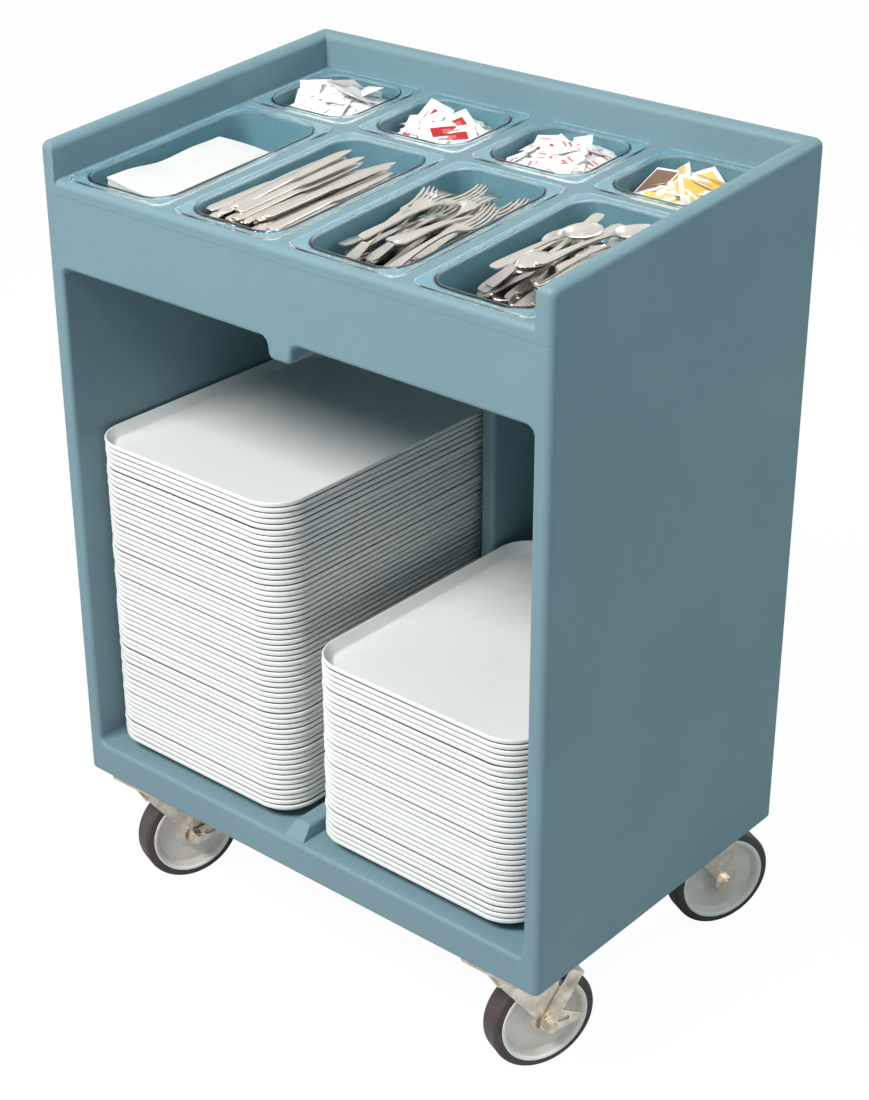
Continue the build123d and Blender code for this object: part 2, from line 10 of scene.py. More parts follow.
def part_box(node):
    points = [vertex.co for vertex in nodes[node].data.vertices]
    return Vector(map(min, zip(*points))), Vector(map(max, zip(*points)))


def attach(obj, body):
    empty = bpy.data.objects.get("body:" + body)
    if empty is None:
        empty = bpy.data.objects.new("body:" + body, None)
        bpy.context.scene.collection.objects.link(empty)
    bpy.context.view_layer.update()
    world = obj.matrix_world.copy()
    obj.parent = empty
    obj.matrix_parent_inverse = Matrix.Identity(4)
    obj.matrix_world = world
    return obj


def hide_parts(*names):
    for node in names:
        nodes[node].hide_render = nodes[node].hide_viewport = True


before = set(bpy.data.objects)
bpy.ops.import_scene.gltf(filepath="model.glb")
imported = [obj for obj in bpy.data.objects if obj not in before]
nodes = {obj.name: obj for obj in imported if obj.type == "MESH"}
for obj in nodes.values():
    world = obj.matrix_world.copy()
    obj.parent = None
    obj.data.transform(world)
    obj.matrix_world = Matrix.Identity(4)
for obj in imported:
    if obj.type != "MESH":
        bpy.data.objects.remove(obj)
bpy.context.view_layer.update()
mm = 0.001

# Camera: the photograph looks down on the cart from the front right-hand corner, from a little
# above a tall person's eyes, about three metres away.
camera_place = (1.77563, -2.08058, 1.98724)
camera_turn, camera_tilt, camera_roll = 0.70722, 0.47708, -0.00138
camera = bpy.data.objects.new("camera", bpy.data.cameras.new("camera"))
bpy.context.scene.collection.objects.link(camera)
bpy.context.scene.camera = camera
camera.data.sensor_fit = "VERTICAL"
camera.data.sensor_height = 36
camera.data.lens = 73.09
camera.data.clip_end = 200
camera.matrix_world = (
    Matrix.Translation(camera_place)
    @ Matrix.Rotation(camera_turn, 4, "Z")
    @ Matrix.Rotation(pi / 2 - camera_tilt, 4, "X")
    @ Matrix.Rotation(camera_roll, 4, "Z")
)


# Studio: a white floor without a horizon, a large soft lamp in front of the cart, weaker ones at
# its right and behind it, and an even white surround that fills the shadows.
def start_material(name):
    """A new material, with its node tree cleared but for the Principled shader and the output."""
    made = bpy.data.materials.new(name)
    made.use_nodes = True
    tree = made.node_tree
    shader = next(n for n in tree.nodes if n.type == "BSDF_PRINCIPLED")
    return made, tree, shader


def add_node(tree, kind, **values):
    """A node of that kind. Names of its settings or of its input sockets may be given with values."""
    made = tree.nodes.new("ShaderNode" + kind)
    for key, value in values.items():
        label = key.replace("_", " ")
        socket = next((s for s in made.inputs if s.name.lower() == label and s.enabled), None)
        if socket:
            socket.default_value = value
        else:
            setattr(made, key, value)
    return made


def work_out(tree, operation, *terms):
    """A Math node's result. Each term is a number or an output socket."""
    made = add_node(tree, "Math", operation=operation)
    for socket, term in zip(made.inputs, terms):
        if isinstance(term, (int, float)):
            socket.default_value = term
        else:
            tree.links.new(term, socket)
    return made.outputs[0]


def looked_at(tree):
    """1 for what the camera sees, directly or through glass, and 0 for light that falls on things."""
    ray = add_node(tree, "LightPath")
    return work_out(tree, "MAXIMUM", ray.outputs["Is Camera Ray"], ray.outputs["Is Transmission Ray"])


def choose(tree, share, first, second):
    """Sends the first shader to the tree's output, and the second in its place by a share from 0 to 1."""
    either = add_node(tree, "MixShader")
    for socket, source in zip(either.inputs, (share, first.outputs[0], second.outputs[0])):
        tree.links.new(source, socket)
    output = next(n for n in tree.nodes if n.type in ("OUTPUT_MATERIAL", "OUTPUT_WORLD"))
    tree.links.new(either.outputs[0], output.inputs[0])


fill_level, mirrored_share = 0.17, 0.85
world = bpy.data.worlds.new("studio")
bpy.context.scene.world = world
world.use_nodes = True
sky = world.node_tree
fill = next(n for n in sky.nodes if n.type == "BACKGROUND")
fill.inputs["Color"].default_value = (0.84, 0.97, 1.0, 1)
fill.inputs["Strength"].default_value = fill_level
backdrop = add_node(sky, "Background", strength=1.0, color=(1, 1, 1, 1))
ray = add_node(sky, "LightPath")
mirrored = work_out(sky, "MULTIPLY", ray.outputs["Is Glossy Ray"], mirrored_share)
choose(sky, work_out(sky, "MAXIMUM", looked_at(sky), mirrored), fill, backdrop)

for lamp_name, place, target, width, power, tint in (
    # name, place, what it points at, width, power and tint
    ("key_lamp", (-0.45, -2.9, 4.0), (0, 0, 0.7), 1.8, 232, (1, 0.985, 0.97)),
    ("side_lamp", (2.6, 0.3, 3.0), (0, 0, 0.9), 2.0, 24, (0.78, 0.97, 1)),
    ("back_lamp", (1.4, 3.4, 2.8), (0, 0, 0.8), 2.0, 44, (0.86, 0.98, 1)),
):
    lamp = bpy.data.lights.new(lamp_name, "AREA")
    lamp.shape = "DISK"
    lamp.size = width
    lamp.energy = power
    lamp.color = tint
    holder = bpy.data.objects.new(lamp_name, lamp)
    bpy.context.scene.collection.objects.link(holder)
    holder.location = place
    holder.rotation_euler = (Vector(target) - Vector(place)).to_track_quat("-Z", "Y").to_euler()

floor_half, floor_glow, whitened_share = 30, 1.05, 0.92
floor_mesh = bmesh.new()
bmesh.ops.create_grid(floor_mesh, x_segments=4, y_segments=4, size=floor_half)
floor = bpy.data.objects.new("floor", bpy.data.meshes.new("floor"))
floor_mesh.to_mesh(floor.data)
floor_mesh.free()
bpy.context.scene.collection.objects.link(floor)
floor_white, tree, shader = start_material("floor_white")
shader.inputs["Base Color"].default_value = (0.62, 0.63, 0.64, 1)
shader.inputs["Roughness"].default_value = 0.9
glow = add_node(tree, "Emission", strength=floor_glow, color=(1, 1, 1, 1))
choose(tree, work_out(tree, "MULTIPLY", looked_at(tree), whitened_share), shader, glow)
floor.data.materials.append(floor_white)


# Cabinet: one hollow moulding of slate-blue polyethylene, turned in its mould until the plastic
# coats it. The skin is matt with a fine pebble, and a parting line crosses the apron.
def colour(red, green, blue):
    """A colour written 0 to 255 as it looks on a screen, in the linear values that shaders take."""
    return tuple(
        c / 255 / 12.92 if c <= 10 else ((c / 255 + 0.055) / 1.055) ** 2.4 for c in (red, green, blue)
    ) + (1.0,)


def group_socket(group, label, kind, side, value=None):
    """Gives a node group an input or an output, with the value it has when nothing is linked."""
    made = group.interface.new_socket(label, in_out=side, socket_type="NodeSocket" + kind)
    if value is not None:
        made.default_value = value


def build_variation():
    """Cloudy patches between two colours, with a fine grain: for every finish that isn't quite even."""
    group = bpy.data.node_groups.new("variation", "ShaderNodeTree")
    group_socket(group, "Colour", "Color", "INPUT")
    group_socket(group, "Patch Colour", "Color", "INPUT")
    group_socket(group, "Patch Scale", "Float", "INPUT", 6.0)
    group_socket(group, "Grain Scale", "Float", "INPUT", 400.0)
    group_socket(group, "Stretch", "Vector", "INPUT", (1, 1, 1))
    group_socket(group, "Colour", "Color", "OUTPUT")
    group_socket(group, "Patches", "Float", "OUTPUT")
    group_socket(group, "Grain", "Float", "OUTPUT")
    given = group.nodes.new("NodeGroupInput")
    result = group.nodes.new("NodeGroupOutput")
    place = group.nodes.new("ShaderNodeTexCoord")
    stretched = add_node(group, "VectorMath", operation="MULTIPLY")
    group.links.new(place.outputs["Object"], stretched.inputs[0])
    group.links.new(given.outputs["Stretch"], stretched.inputs[1])
    patches = add_node(group, "TexNoise", detail=4.0, roughness=0.6)
    grain = add_node(group, "TexNoise", detail=2.0, roughness=0.5)
    for noise, scale in ((patches, "Patch Scale"), (grain, "Grain Scale")):
        group.links.new(stretched.outputs[0], noise.inputs["Vector"])
        group.links.new(given.outputs[scale], noise.inputs["Scale"])
    spread = add_node(group, "MapRange", from_min=0.35, from_max=0.68)
    group.links.new(patches.outputs[0], spread.inputs["Value"])
    fine = add_node(group, "MapRange", from_min=0.3, from_max=0.7)
    group.links.new(grain.outputs[0], fine.inputs["Value"])
    mixed = add_node(group, "Mix", data_type="RGBA")
    group.links.new(spread.outputs[0], mixed.inputs["Factor"])
    group.links.new(given.outputs["Colour"], mixed.inputs[6])
    group.links.new(given.outputs["Patch Colour"], mixed.inputs[7])
    group.links.new(mixed.outputs[2], result.inputs["Colour"])
    group.links.new(spread.outputs[0], result.inputs["Patches"])
    group.links.new(fine.outputs[0], result.inputs["Grain"])
    return group


variation = build_variation()


def varied(tree, shader, base, patch, patch_scale, grain_scale, rough, bump, stretch=(1, 1, 1)):
    """Puts the variation group before a shader: its colour, its roughness range and its bump."""
    source = add_node(tree, "Group", node_tree=variation)
    source.inputs["Colour"].default_value = base
    source.inputs["Patch Colour"].default_value = patch
    source.inputs["Patch Scale"].default_value = patch_scale
    source.inputs["Grain Scale"].default_value = grain_scale
    source.inputs["Stretch"].default_value = stretch
    tree.links.new(source.outputs["Colour"], shader.inputs["Base Color"])
    gloss = add_node(tree, "MapRange", to_min=rough[0], to_max=rough[1])
    tree.links.new(source.outputs["Patches"], gloss.inputs["Value"])
    tree.links.new(gloss.outputs[0], shader.inputs["Roughness"])
    relief = add_node(tree, "Bump", strength=bump[0], distance=bump[1])
    tree.links.new(source.outputs["Grain"], relief.inputs["Height"])
    tree.links.new(relief.outputs[0], shader.inputs["Normal"])
    return source


def tinted(tree, now, ink, share):
    """A colour with another laid over it, by a share from 0 to 1 that varies over the surface."""
    mix = add_node(tree, "Mix", data_type="RGBA")
    mix.inputs[7].default_value = ink
    tree.links.new(share, mix.inputs["Factor"])
    tree.links.new(now, mix.inputs[6])
    return mix.outputs[2]


def dress(name, material):
    """Gives a CAD node its finish."""
    nodes[name].data.materials.clear()
    nodes[name].data.materials.append(material)


cabinet_blue, tree, shader = start_material("cabinet_blue")
source = varied(
    tree, shader, colour(120, 150, 159), colour(116, 146, 155), 5.0, 700.0, (0.4, 0.5), (0.25, 0.0006)
)
shader.inputs["Specular IOR Level"].default_value = 0.3
place = add_node(tree, "TexCoord")
parts = add_node(tree, "SeparateXYZ")
tree.links.new(place.outputs["Object"], parts.inputs[0])
parting_z, parting_half, parting_left, apron_y = 1.074, 0.7 * mm, -0.386, -0.288
off_line = work_out(tree, "ABSOLUTE", work_out(tree, "SUBTRACT", parts.outputs[2], parting_z))
on_line = work_out(tree, "LESS_THAN", off_line, parting_half)
on_front = work_out(tree, "LESS_THAN", parts.outputs[1], apron_y)
right_of = work_out(tree, "GREATER_THAN", parts.outputs[0], parting_left)
parting = work_out(tree, "MULTIPLY", work_out(tree, "MULTIPLY", on_line, on_front), right_of)
shade = work_out(tree, "MULTIPLY", parting, 0.8)
shaded = tinted(tree, source.outputs["Colour"], colour(104, 134, 146), shade)
tree.links.new(shaded, shader.inputs["Base Color"])
height = work_out(tree, "SUBTRACT", source.outputs["Grain"], work_out(tree, "MULTIPLY", parting, 1.5))
relief = shader.inputs["Normal"].links[0].from_node
tree.links.new(height, relief.inputs["Height"])
dress("cabinet", cabinet_blue)


# Food pans: clear polycarbonate, moulded in one piece, each hung by its rim in a well of the deck.
# The two rounded edges of a rim, round its outside and round its mouth, are frosted and coated, and a
# highlight is painted on them as a lighter tint.
# The deck's own frame starts at the top of the cabinet's front and rises towards the back.
deck_y, deck_z, deck_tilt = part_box("cabinet")[0].y, 1.0925, radians(4.6)
pan_middle, pan_pitch = -1 * mm, 195 * mm
pan_x = [pan_middle + (i - 1.5) * pan_pitch for i in range(4)]
long_pan_y, short_pan_y, between_rows = 171.5 * mm, 430 * mm, 341 * mm
pan_w, long_pan_l, short_pan_l, pan_rim_w = 176 * mm, 325 * mm, 162 * mm, 13 * mm
rim_outside, rim_mouth = (0.7 * mm, 14 * mm), (pan_rim_w, 34 * mm)  # inset and corner radius
edge_faded, edge_full, edge_depth = 1 * mm, 0.3 * mm, 0.3 * mm  # how far from an edge's line


def rounded_distance(tree, x, y, half_x, half_y, corner):
    """How far a point lies outside a rectangle with rounded corners, and less than 0 inside it."""
    over_x, over_y = (
        work_out(tree, "SUBTRACT", work_out(tree, "ABSOLUTE", at), work_out(tree, "SUBTRACT", half, corner))
        for at, half in ((x, half_x), (y, half_y))
    )
    far_x, far_y = work_out(tree, "MAXIMUM", over_x, 0.0), work_out(tree, "MAXIMUM", over_y, 0.0)
    squares = work_out(
        tree, "ADD", work_out(tree, "MULTIPLY", far_x, far_x), work_out(tree, "MULTIPLY", far_y, far_y)
    )
    near = work_out(tree, "MINIMUM", work_out(tree, "MAXIMUM", over_x, over_y), 0.0)
    return work_out(tree, "SUBTRACT", work_out(tree, "ADD", work_out(tree, "SQRT", squares), near), corner)


def build_deck_place():
    """Where a point lies in the sloping frame of the deck: along it from the front, and above it."""
    group = bpy.data.node_groups.new("deck_place", "ShaderNodeTree")
    group_socket(group, "Across", "Float", "OUTPUT")
    group_socket(group, "Along", "Float", "OUTPUT")
    group_socket(group, "Above", "Float", "OUTPUT")
    result = group.nodes.new("NodeGroupOutput")
    place = group.nodes.new("ShaderNodeTexCoord")
    parts = add_node(group, "SeparateXYZ")
    group.links.new(place.outputs["Object"], parts.inputs[0])
    ahead = work_out(group, "SUBTRACT", parts.outputs[1], deck_y)
    rise = work_out(group, "SUBTRACT", parts.outputs[2], deck_z)
    along = work_out(
        group, "ADD", work_out(group, "MULTIPLY", ahead, cos(deck_tilt)),
        work_out(group, "MULTIPLY", rise, sin(deck_tilt)),
    )
    above = work_out(
        group, "SUBTRACT", work_out(group, "MULTIPLY", rise, cos(deck_tilt)),
        work_out(group, "MULTIPLY", ahead, sin(deck_tilt)),
    )
    for socket, value in zip(result.inputs, (parts.outputs[0], along, above)):
        group.links.new(value, socket)
    return group


def build_rim_edges():
    """1 on the two edges of every pan's rim, fading to 0 beside them."""
    group = bpy.data.node_groups.new("rim_edges", "ShaderNodeTree")
    group_socket(group, "Edges", "Float", "OUTPUT")
    result = group.nodes.new("NodeGroupOutput")
    where = add_node(group, "Group", node_tree=deck_place)
    rear = work_out(group, "GREATER_THAN", where.outputs["Along"], between_rows)
    row_y = work_out(
        group, "ADD", long_pan_y, work_out(group, "MULTIPLY", rear, short_pan_y - long_pan_y)
    )
    half_l = work_out(
        group, "ADD", long_pan_l / 2, work_out(group, "MULTIPLY", rear, (short_pan_l - long_pan_l) / 2)
    )
    across = work_out(group, "SUBTRACT", where.outputs["Across"], pan_middle)
    across = work_out(group, "SUBTRACT", work_out(group, "WRAP", across, pan_pitch, 0.0), pan_pitch / 2)
    in_row = work_out(group, "SUBTRACT", where.outputs["Along"], row_y)
    edges = None
    for inset, corner in (rim_outside, rim_mouth):
        half_l_here = work_out(group, "SUBTRACT", half_l, inset)
        off = rounded_distance(group, across, in_row, pan_w / 2 - inset, half_l_here, corner)
        line = add_node(group, "MapRange", from_min=edge_faded, from_max=edge_full)
        group.links.new(work_out(group, "ABSOLUTE", off), line.inputs["Value"])
        edges = line.outputs[0] if edges is None else work_out(group, "MAXIMUM", edges, line.outputs[0])
    near_top = work_out(group, "GREATER_THAN", where.outputs["Above"], -edge_depth)
    group.links.new(work_out(group, "MULTIPLY", edges, near_top), result.inputs[0])
    return group


deck_place = build_deck_place()
rim_edges = build_rim_edges()
clear_pan, tree, shader = start_material("clear_pan")
source = varied(
    tree, shader, (0.8, 0.89, 0.91, 1), (0.76, 0.86, 0.88, 1), 12.0, 60.0, (0.02, 0.06), (0.03, 0.0004)
)
edges = add_node(tree, "Group", node_tree=rim_edges)
# Painted highlight: the two edges of each rim are tinted lighter than the rest of the pan.
painted_highlight = tinted(tree, source.outputs["Colour"], (0.93, 0.97, 0.98, 1), edges.outputs[0])
tree.links.new(painted_highlight, shader.inputs["Base Color"])
polish = shader.inputs["Roughness"].links[0].from_socket
frosted = work_out(tree, "ADD", polish, work_out(tree, "MULTIPLY", edges.outputs[0], 0.5))
tree.links.new(frosted, shader.inputs["Roughness"])
tree.links.new(edges.outputs[0], shader.inputs["Coat Weight"])
shader.inputs["Coat Roughness"].default_value = 0.4
shader.inputs["Coat IOR"].default_value = 2.6
shader.inputs["Transmission Weight"].default_value = 1.0
shader.inputs["IOR"].default_value = 1.2
open_way = add_node(tree, "BsdfTransparent", color=(0.42, 0.48, 0.5, 1))
choose(tree, add_node(tree, "LightPath").outputs["Is Shadow Ray"], shader, open_way)
for row in ("front", "rear"):
    for i in range(1, 5):
        dress(f"pan_{row}_{i}", clear_pan)


# Trays: pressed fibreglass, off-white with a faint linen grain, nested in two stacks that
# aren't quite square. Each shows the rolled band of its rim and the dark slit under it.
tray_w, tray_l, tray_h, tray_corner = 356 * mm, 457 * mm, 17 * mm, 52 * mm
tray_pitch = 8.15 * mm
# How far in from the edge and how high each turn of a rim's section lies, in mm
tray_section = (
    (16.5, 0.4), (15.5, 0.0), (13.6, 0.6), (3.4, 10.2), (1.3, 10.5), (0.3, 11.2), (0.0, 12.1),
    (0.0, 15.4), (0.4, 16.4), (1.4, 17.0), (2.4, 16.8), (3.4, 15.8), (11.4, 4.6), (13.4, 3.2), (16.0, 2.9),
)


def loop(bm, segments, place):
    """A circle of edges of radius 1, moved by a matrix or a function."""
    half_step = Matrix.Rotation(pi / segments, 4, "Z")
    made = bmesh.ops.create_circle(bm, segments=segments, radius=1, matrix=half_step)
    for v in made["verts"]:
        v.co = place @ v.co if isinstance(place, Matrix) else place(v.co)
    return list({e for v in made["verts"] for e in v.link_edges})


def skin(bm, loops):
    """Faces between each loop and the next, with the two ends closed."""
    for first, second in zip(loops, loops[1:]):
        bmesh.ops.bridge_loops(bm, edges=first + second)
    for end in (loops[0], loops[-1]):
        bmesh.ops.contextual_create(bm, geom=end)
    bmesh.ops.recalc_face_normals(bm, faces=bm.faces)


def finished(name, bm, material, body, slot, replaced):
    """Makes the piece an object: smooth but for its sharp edges, and attached to its body."""
    mesh = bpy.data.meshes.new(name)
    bm.to_mesh(mesh)
    bm.free()
    mesh.shade_smooth()
    mesh.set_sharp_from_angle(angle=radians(42))
    mesh.materials.append(material)
    made = bpy.data.objects.new(name, mesh)
    bpy.context.scene.collection.objects.link(made)
    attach(made, body)
    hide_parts(replaced)


def copy_into(bm, template, matrix):
    """Adds a copy of a mesh, placed by a matrix, and returns its vertices."""
    before = len(bm.verts)
    bm.from_mesh(template)
    bm.verts.ensure_lookup_table()
    fresh = bm.verts[before:]
    bmesh.ops.transform(bm, matrix=matrix, verts=fresh)
    return fresh


def tray_corner_at(inset, z):
    """What moves a circle's four quarters out to a tray's four corners, at that inset and height."""
    def place(co):
        flat = co * (tray_corner - inset * mm)
        return Vector((
            flat.x + copysign(tray_w / 2 - tray_corner, flat.x),
            flat.y + copysign(tray_l / 2 - tray_corner, flat.y),
            z * mm,
        ))
    return place


tray_mesh = bmesh.new()
skin(tray_mesh, [loop(tray_mesh, 40, tray_corner_at(inset, z)) for inset, z in tray_section])
one_tray = bpy.data.meshes.new("one_tray")
tray_mesh.to_mesh(one_tray)
tray_mesh.free()

tray_white, tree, shader = start_material("tray_white")
varied(
    tree, shader, colour(238, 239, 236), colour(232, 234, 233), 9.0, 900.0, (0.32, 0.42), (0.12, 0.0004)
)

shuffle = random.Random(7)
for side in ("left", "right"):
    low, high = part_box(f"tray_stack_{side}")
    count = round(((high - low).z - tray_h) / tray_pitch)
    middle = (low + high) / 2
    stack = bmesh.new()
    for i in range(count):
        nudge = Matrix.Translation((
            middle.x + shuffle.uniform(-0.5, 0.5) * mm, middle.y + shuffle.uniform(-0.8, 0.8) * mm,
            high.z - tray_h - i * tray_pitch - shuffle.uniform(0, 0.25) * mm,
        ))
        copy_into(stack, one_tray, nudge @ Matrix.Rotation(radians(shuffle.uniform(-0.15, 0.15)), 4, "Z"))
    finished(f"trays_{side}", stack, tray_white, f"tray_stack_{side}", "tray_white", f"tray_stack_{side}")


# Cutlery: stamped stainless steel with a brushed finish, dropped by the handful into three of the
# long pans. The knives lie the same way, and the forks and spoons lie across each other.
deck = Matrix.Translation((0, deck_y, deck_z)) @ Matrix.Rotation(deck_tilt, 4, "X")
pan_floor = -62.0 * mm
pan_corner, long_room = 28 * mm, (70 * mm, 144 * mm)  # a pan's inside, half across and half along
cell, long_cells = 2 * mm, (76, 152)
crest, steepest = 76 * mm, 0.1
steel_t = 2.0 * mm
cutlery_tries = 16
outline_points = 61


def pan_place(i, y):
    """The middle of a pan's floor, in the sloping frame of the deck."""
    return deck @ Matrix.Translation((pan_x[i], y, pan_floor))


def flat_blank(stations, columns):
    """Sheet steel cut to the stations' half widths, bent to their heights and dished between edges.

    A station is (place along the piece, half width, height of the edges, depth of the dish), in mm.
    """
    bm = bmesh.new()
    rows = len(stations) - 1
    bmesh.ops.create_grid(bm, x_segments=columns, y_segments=rows, size=1)
    for v in bm.verts:
        along, half, rim, dish = stations[round((v.co.y + 1) / 2 * rows)]
        across = v.co.x
        v.co = Vector((across * half, along, rim - dish * (1 - across * across))) * mm
    return bm


def thickened(bm, name):
    """The mesh of a blank with the steel's thickness."""
    bmesh.ops.recalc_face_normals(bm, faces=bm.faces)
    if sum((f.normal.z for f in bm.faces)) < 0:
        bmesh.ops.reverse_faces(bm, faces=bm.faces)
    bmesh.ops.solidify(bm, geom=bm.faces[:], thickness=steel_t)
    bmesh.ops.recalc_face_normals(bm, faces=bm.faces)
    mesh = bpy.data.meshes.new(name)
    bm.to_mesh(mesh)
    bm.free()
    return mesh


def outline_of(stations, nesting):
    """What the pile needs to know of a piece: along, half width, underside and top, in metres.

    Nesting is the share of its dish that a piece laid on it sinks into.
    """
    table = np.array(stations) * mm
    along = np.linspace(table[0, 0], table[-1, 0], outline_points)
    half, rim, dish = (np.interp(along, table[:, 0], table[:, k]) for k in (1, 2, 3))
    return along, half, rim - dish, rim - nesting * dish + steel_t


def cells_under(heights, at_x, at_y):
    """Which cells of a pile lie at those places. The grid's middle is the pan's."""
    return tuple(
        np.clip((at / cell + count / 2).astype(int), 0, count - 1)
        for at, count in zip((at_x, at_y), heights.shape)
    )


def come_to_rest(heights, piece, x, y, turn, flip):
    """Lets a long piece down onto the pile and tips it until a point on each side of its middle holds it.

    Gives its place, the cells of the pile it covers and its top over each of them.
    """
    along, half, under, over = piece
    if flip:
        under, over = -over, -under
    across = half[:, None] * np.linspace(-0.8, 0.8, 7)
    at_x = x - along[:, None] * sin(turn) + across * cos(turn)
    at_y = y + along[:, None] * cos(turn) + across * sin(turn)
    cells = cells_under(heights, at_x, at_y)
    need = heights[cells].max(axis=1) - under
    back, front = along <= 0, along > 0
    behind, ahead = along[back][:, None], along[front][None, :]
    lift = (need[back][:, None] * ahead - need[front][None, :] * behind) / (ahead - behind)
    i, j = np.unravel_index(lift.argmax(), lift.shape)
    slope = (need[front][j] - need[back][i]) / (ahead[0, j] - behind[i, 0])
    slope = np.clip(slope, -steepest, steepest)
    level = (need - slope * along).max()
    top = np.repeat((level + slope * along + over)[:, None], across.shape[1], axis=1)
    made = Matrix.Translation((x, y, level)) @ Matrix.Rotation(turn, 4, "Z")
    made = made @ Matrix.Rotation(atan(slope), 4, "X")
    return (made @ Matrix.Rotation(pi, 4, "Y") if flip else made), cells, top


def keep_inside(x, y, turn, long_half, wide_half, room_x, room_y, corner):
    """Moves a piece towards the pan's middle until its four corners are inside the pan."""
    for _ in range(60):
        worst = 0
        for a in (-long_half, long_half):
            for b in (-wide_half, wide_half):
                past_x = abs(x - a * sin(turn) + b * cos(turn)) - room_x
                past_y = abs(y + a * cos(turn) + b * sin(turn)) - room_y
                worst = max(worst, past_x, past_y)
                if past_x > -corner and past_y > -corner:
                    past_corner = ((past_x + corner) ** 2 + (past_y + corner) ** 2) ** 0.5 - corner
                    worst = max(worst, past_corner)
        if worst <= 0:
            return x, y, turn
        x, y, turn = x * 0.94, y * 0.96, turn * 0.97
    return x, y, turn


def heaped_cutlery(pan, mesh, shape, seed, wide, reach, swing, flipped, layers, on_top):
    """A heap in a long pan. Of some tries at a time, the one that comes to rest lowest is laid.

    A layer is (height that it may reach, share of its pieces that lie the other way round).
    """
    chance = random.Random(seed)
    heights = np.zeros(long_cells)
    half_length, half_width = shape[0][-1], shape[1].max()
    nearest, farthest = reach
    heap = bmesh.new()

    def lay(x, y, turn, flip, reverse):
        """Where a piece comes to rest that is let down at a place in mm and a turn in degrees."""
        x, y, turn = keep_inside(
            x * mm, y * mm, radians(turn), half_length, half_width, *long_room, pan_corner
        )
        return come_to_rest(heights, shape, x, y, turn + pi * reverse, flip)

    def put(matrix, cells, top):
        np.maximum.at(heights, cells, top)
        copy_into(heap, mesh, pan @ matrix)

    for fill, reversed_share in layers:
        while True:
            tries = [lay(
                chance.uniform(-wide, wide), chance.uniform(nearest, farthest), chance.gauss(-2, swing),
                chance.random() < flipped, chance.random() < reversed_share,
            ) for _ in range(cutlery_tries)]
            lowest = min(tries, key=lambda one: one[2].max())
            if lowest[2].max() > fill * mm:
                break
            put(*lowest)
    for spot in on_top:
        found = lay(*spot)
        if found[2].max() <= crest:
            put(*found)
    return heap


steel, tree, shader = start_material("cutlery_steel")
source = varied(
    tree, shader, (0.86, 0.82, 0.76, 1), (0.72, 0.67, 0.6, 1), 60.0, 1600.0, (0.22, 0.36), (0.08, 0.0002),
    (1, 0.15, 1),
)
shader.inputs["Metallic"].default_value = 1.0
# Painted shade: the steel is darker the deeper it lies below the deck, for the shade between the pieces of a
# heap.
where = add_node(tree, "Group", node_tree=deck_place)
depth = add_node(tree, "MapRange", from_min=-40 * mm, from_max=-8 * mm, to_min=0.36, to_max=1.0)
tree.links.new(where.outputs["Above"], depth.inputs["Value"])
painted_deep_shade = add_node(tree, "VectorMath", operation="SCALE")
tree.links.new(source.outputs["Colour"], painted_deep_shade.inputs[0])
tree.links.new(depth.outputs[0], painted_deep_shade.inputs["Scale"])
tree.links.new(painted_deep_shade.outputs[0], shader.inputs["Base Color"])

spoon_stations = (
    (-92.5, 4.0, 2.5, 0.0), (-91.0, 6.5, 2.8, 0.2), (-84, 8.5, 3.5, 0.4), (-70, 8.0, 5.0, 0.4),
    (-50, 6.0, 7.5, 0.3), (-25, 4.3, 10.0, 0.2), (0, 3.5, 11.5, 0.0), (20, 3.4, 11.5, 0.0),
    (32, 4.2, 10.5, 0.3), (38, 8.5, 9.6, 2.5), (44, 13.5, 9.0, 5.0), (52, 17.0, 8.6, 7.0),
    (62, 19.0, 8.4, 8.0), (72, 18.0, 8.3, 7.5), (81, 14.5, 8.4, 5.5), (88, 9.5, 8.6, 2.8),
    (91.5, 5.0, 8.8, 1.0), (92.5, 2.0, 8.9, 0.2),
)
fork_stations = (
    (-95, 4.0, 2.5, 0.0), (-93.5, 6.5, 2.8, 0.2), (-86, 8.5, 3.5, 0.4), (-70, 7.5, 5.0, 0.4),
    (-48, 5.5, 7.5, 0.3), (-22, 4.0, 9.5, 0.2), (0, 3.4, 10.0, 0.0), (18, 3.4, 9.0, 0.0),
    (27, 4.5, 7.5, 0.2), (33, 8.0, 6.0, 0.6), (39, 11.5, 4.6, 1.2), (45, 12.3, 3.3, 1.4),
    (50, 12.5, 2.4, 1.2), (60, 12.4, 1.5, 0.9), (72, 12.1, 1.8, 0.6), (84, 11.6, 4.5, 0.3),
    (92, 11.0, 8.0, 0.1), (95, 10.6, 9.5, 0.0),
)
tine_root, fork_half_w, half_columns = 12, 13, 3.5
knife_half_l, knife_half_w, knife_t, knife_middle = 111 * mm, 6.5 * mm, 4.6 * mm, 3.5
# A knife's station is (place along it, how far to one side, half width, half thickness), in mm
knife_stations = (
    (-111, 0.0, 5.0, 0.8), (-109, 0.0, 7.4, 2.2), (-104, 0.0, 8.2, 3.4), (-80, 0.0, 8.0, 3.4),
    (-45, 0.0, 7.2, 3.2), (-20, 0.0, 6.6, 3.1), (-8, 0.0, 6.2, 2.9), (0, 0.2, 6.6, 1.9),
    (8, 0.5, 8.4, 1.1), (25, 0.6, 9.3, 0.9), (60, 0.6, 9.5, 0.85), (85, 0.9, 8.8, 0.8),
    (100, 2.2, 6.6, 0.7), (107, 3.8, 4.0, 0.6), (111, 5.5, 1.5, 0.4),
)
one_spoon = thickened(flat_blank(spoon_stations, 8), "one_spoon")

